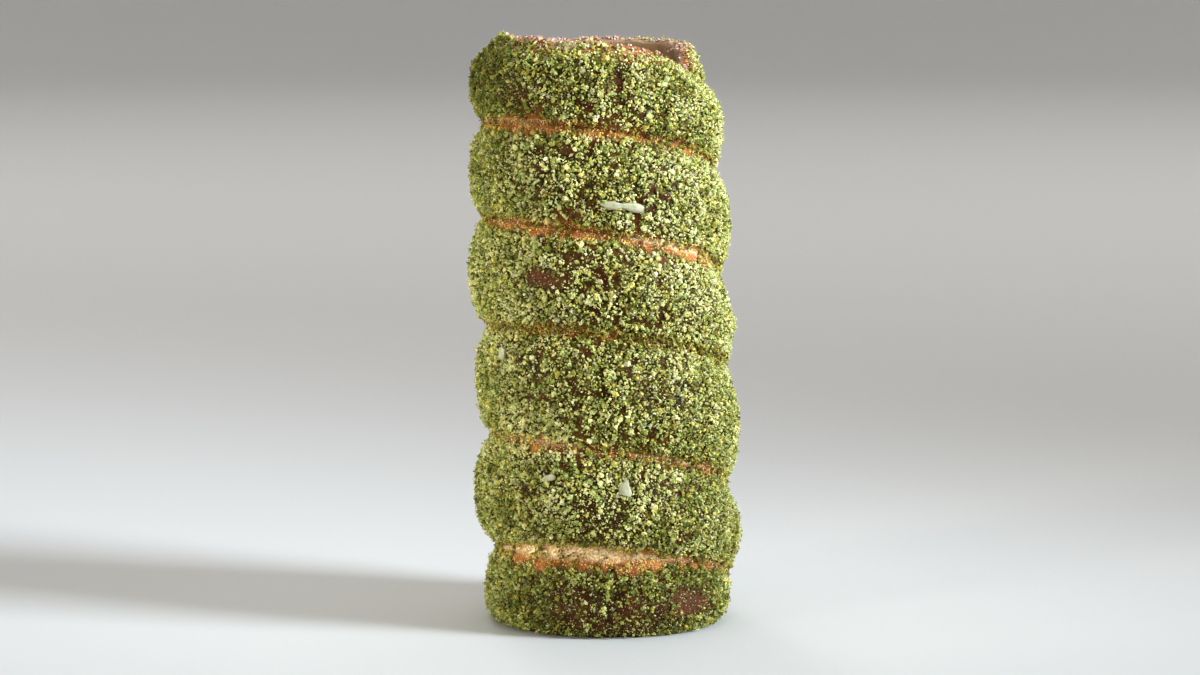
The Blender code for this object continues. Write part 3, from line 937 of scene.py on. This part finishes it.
def dough_material():
    """Browned dough: dark glaze on the crowns, orange crust at the shoulders, cream where the turns part."""
    material, tree, shader = new_material("baked_dough", 0.6, 0.08)
    patches = noise(tree, 120.0)
    _, fine = mottled(tree, 0.5, 900.0, 0.0, 3.0)
    rubble = grit(tree, 1500.0)
    glaze = blend(tree, ranged(tree, patches, 0.35, 0.65), srgb(36, 17, 3), srgb(70, 34, 8))
    ruddy = blend(tree, ranged(tree, fine, 0.35, 0.65), srgb(60, 27, 17), srgb(112, 56, 38))
    glaze = blend(tree, ranged(tree, attribute(tree, "thin"), 0.55, 1.0), glaze, ruddy)
    shoulder = arithmetic(tree, "MULTIPLY", attribute(tree, "shoulder"), ranged(tree, fine, 0.3, 0.7, 0.3, 0.8))
    crust = blend(tree, shoulder, glaze, srgb(122, 72, 26))
    speckles = ((0.00, srgb(28, 20, 2)), (0.45, srgb(54, 46, 6)), (0.75, srgb(92, 92, 22)), (1.00, srgb(150, 126, 74)))
    speckled = ramp(tree, rubble, speckles)
    crust = blend(tree, arithmetic(tree, "MULTIPLY", attribute(tree, "powder"), 0.85), crust, speckled)
    orange = blend(tree, ranged(tree, patches, 0.35, 0.7), srgb(138, 70, 30), srgb(178, 104, 54))
    dusted = arithmetic(tree, "MULTIPLY", ranged(tree, rubble, 0.80, 0.84), 0.55)
    orange = blend(tree, dusted, orange, srgb(206, 158, 76))
    # painted shade in the crease close to each seam, a darker orange
    orange = blend(tree, attribute(tree, "deep"), orange, srgb(96, 50, 16))
    crust = blend(tree, attribute(tree, "bare"), crust, orange)
    pale = arithmetic(tree, "MULTIPLY", attribute(tree, "pale"), ranged(tree, fine, 0.3, 0.6, 0.7, 1.0))
    cream = blend(tree, ranged(tree, rubble, 0.1, 0.9), srgb(210, 162, 104), srgb(255, 234, 188))
    crust = blend(tree, pale, crust, cream)
    rim = arithmetic(tree, "MULTIPLY", attribute(tree, "rim"), ranged(tree, patches, 0.3, 0.6, 0.7, 1.0))
    crisp = blend(tree, ranged(tree, rubble, 0.2, 0.9), srgb(124, 64, 30), srgb(190, 124, 78))
    crust = blend(tree, rim, crust, crisp)
    wall = blend(tree, ranged(tree, patches, 0.3, 0.7), srgb(152, 120, 90), srgb(176, 146, 112))
    colour = blend(tree, attribute(tree, "inside"), crust, wall)
    tree.links.new(colour, shader.inputs["Base Color"])
    tree.links.new(ranged(tree, fine, 0.3, 0.7, 0.5, 0.75), shader.inputs["Roughness"])
    bumped(tree, shader, arithmetic(tree, "ADD", arithmetic(tree, "MULTIPLY", rubble, 0.5), fine), 0.6, 0.0004)
    return material


def pistachio_material():
    """Ground pistachio, from dark olive to pale straw, with crumbs that are greener, yellower or pinkish grey."""
    material, tree, shader = new_material("pistachio_coat", 0.8, 0.2)
    tone, fine = mottled(tree, attribute(tree, "tone"), 2200.0, 0.18)
    hue = attribute(tree, "hue")
    straw, yellow, green, greyish = (shaded(tree, tone, shades) for shades in (STRAW, YELLOW, GREEN, GREYISH))
    colour = blend(tree, ranged(tree, hue, 0.45, 0.95, 0.0, 0.85), straw, yellow)
    colour = blend(tree, ranged(tree, hue, 0.10, 0.45, 0.6, 0.0), colour, green)
    colour = blend(tree, ranged(tree, hue, 0.04, 0.09, 0.55, 0.0), colour, greyish)
    stain = arithmetic(tree, "MULTIPLY", attribute(tree, "warm"), ranged(tree, hue, 0.0, 1.0, 0.25, 0.75))
    colour = blend(tree, stain, colour, shaded(tree, tone, STAINED))
    tree.links.new(colour, shader.inputs["Base Color"])
    bumped(tree, shader, fine, 0.4, 0.0002)
    return material


def two_tone_material(name, dark, light, roughness, scale):
    """A plain stuff that runs from dark to light with each grain's tone and a fine mottle."""
    material, tree, shader = new_material(name, roughness)
    tone, fine = mottled(tree, attribute(tree, "tone"), scale, 0.17)
    tree.links.new(blend(tree, tone, dark, light), shader.inputs["Base Color"])
    bumped(tree, shader, fine, 0.3, 0.0002)
    return material


def almond_material():
    material, tree, shader = new_material("almond", 0.5)
    tone, grain = mottled(tree, 0.5, 500.0, 0.5, 3.0)
    colour = blend(tree, tone, srgb(146, 142, 108), srgb(178, 174, 142))
    tree.links.new(colour, shader.inputs["Base Color"])
    bumped(tree, shader, grain, 0.3, 0.0003)
    return material


def build_stage():
    """A plain pale floor that curves up into a wall all round."""
    bowl = bmesh.new()
    middle = bowl.verts.new((0, 0, 0))
    edge = bowl.verts.new((STAGE_RADIUS, 0, 0))
    bowl.edges.new((middle, edge))
    bent = bmesh.ops.spin(
        bowl, geom=[edge], cent=(STAGE_RADIUS, 0, STAGE_BEND), axis=(0, -1, 0), angle=math.pi / 2, steps=16
    )["geom_last"]
    top = [g for g in bent if isinstance(g, bmesh.types.BMVert)]
    wall = bmesh.ops.extrude_vert_indiv(bowl, verts=top)["verts"]
    bmesh.ops.translate(bowl, vec=(0, 0, STAGE_WALL), verts=wall)
    bmesh.ops.spin(
        bowl, geom=bowl.verts[:] + bowl.edges[:], cent=(0, 0, 0), axis=(0, 0, 1), angle=math.tau, steps=96,
        use_merge=True,
    )
    bmesh.ops.remove_doubles(bowl, verts=bowl.verts, dist=MERGE)
    bmesh.ops.recalc_face_normals(bowl, faces=bowl.faces)
    data = bpy.data.meshes.new("floor")
    bowl.to_mesh(data)
    bowl.free()
    data.shade_smooth()
    floor = bpy.data.objects.new("floor", data)
    bpy.context.scene.collection.objects.link(floor)
    material, _, shader = new_material("floor", 0.9, 0.2)
    shader.inputs["Base Color"].default_value = srgb(214, 212, 208)
    data.materials.append(material)


def add_light(name, at, size, power, colour, aim=(0, 0, 0.1), spread=180.0):
    data = bpy.data.lights.new(name, "AREA")
    data.size = size
    data.energy = power
    data.color = colour
    data.spread = math.radians(spread)
    light = bpy.data.objects.new(name, data)
    light.visible_camera = False
    light.location = at
    light.rotation_euler = (Vector(aim) - Vector(at)).to_track_quat("-Z", "Y").to_euler()
    bpy.context.scene.collection.objects.link(light)


def build_light():
    world = bpy.data.worlds.new("studio")
    world.use_nodes = True
    world.node_tree.nodes["Background"].inputs["Color"].default_value = (0.85, 0.88, 0.92, 1)
    world.node_tree.nodes["Background"].inputs["Strength"].default_value = 0.06
    bpy.context.scene.world = world
    bpy.context.scene.view_settings.view_transform = "Standard"
    add_light("key", (1.22, -0.45, 0.62), 0.4, 3.55, (0.77, 0.88, 1.0), (0, 0, 0.27), 40.0)
    add_light("side", (-1.28, -0.26, 0.12), 0.25, 0.16, (0.90, 1.0, 0.84), (0, 0, 0.105), 16.0)
    add_light("side_front", (-1.00, -0.84, 0.30), 0.25, 0.10, (0.98, 0.98, 0.86), (0, 0, 0.110), 16.0)
    add_light("front", (-0.1, -1.7, 0.9), 0.6, 0.23, (1.0, 0.97, 0.92), (0, 0, 0.110), 40.0)
    add_light("back", (-0.5, 1.7, 0.9), 0.5, 0.25, (1.0, 1.0, 1.0), (0, 0, 0.110), 30.0)
    for number in range(4):
        around = math.tau * number / 4
        x, y = math.cos(around), math.sin(around)
        add_light(f"above_{number + 1}", (x, y, 2.4), 1.6, 9.0 if number == 1 else 4.0, (1, 1, 1), (x, y, 0), 120.0)
        x, y = math.cos(around + math.pi / 4), math.sin(around + math.pi / 4)
        power = 44.0 if y > 0 else 34.0
        add_light(f"wall_{number + 1}", (1.6 * x, 1.6 * y, 2.4), 1.0, power, (0.98, 0.98, 1.0), (4.6 * x, 4.6 * y, 0.6))


def build_camera():
    tilt = math.radians(CAMERA_ELEVATION)
    aim = Vector(AIM)
    data = bpy.data.cameras.new("camera")
    data.sensor_width = SENSOR
    data.lens = CAMERA_DISTANCE / METRES_PER_PIXEL / FRAME_PIXELS * SENSOR
    camera = bpy.data.objects.new("camera", data)
    camera.location = aim + Vector((0, -CAMERA_DISTANCE * math.cos(tilt), CAMERA_DISTANCE * math.sin(tilt)))
    camera.rotation_euler = (aim - camera.location).to_track_quat("-Z", "Y").to_euler()
    bpy.context.scene.collection.objects.link(camera)
    bpy.context.scene.camera = camera


def main():
    build_camera()
    build_light()
    build_stage()
    dough = build_dough(dough_material())
    surface = Surface(dough.data)
    cover = coat_cover(surface.points)
    pistachio = pistachio_material()
    crumbs = build_crumbs(surface, cover, pistachio)
    build_grains(surface, cover, crumbs, pistachio)
    build_dust(surface, cover, pistachio)
    build_nut_skin(surface, cover, two_tone_material("nut_skin", srgb(46, 26, 14), srgb(104, 72, 50), 0.7, 900.0))
    sugar = two_tone_material("sugar", srgb(158, 112, 84), srgb(224, 190, 160), 0.5, 600.0)
    rim_sugar = two_tone_material("rim_sugar", srgb(150, 92, 64), srgb(212, 184, 162), 0.5, 600.0)
    build_sugar(surface, sugar, rim_sugar)
    build_almonds(almond_material())


main()
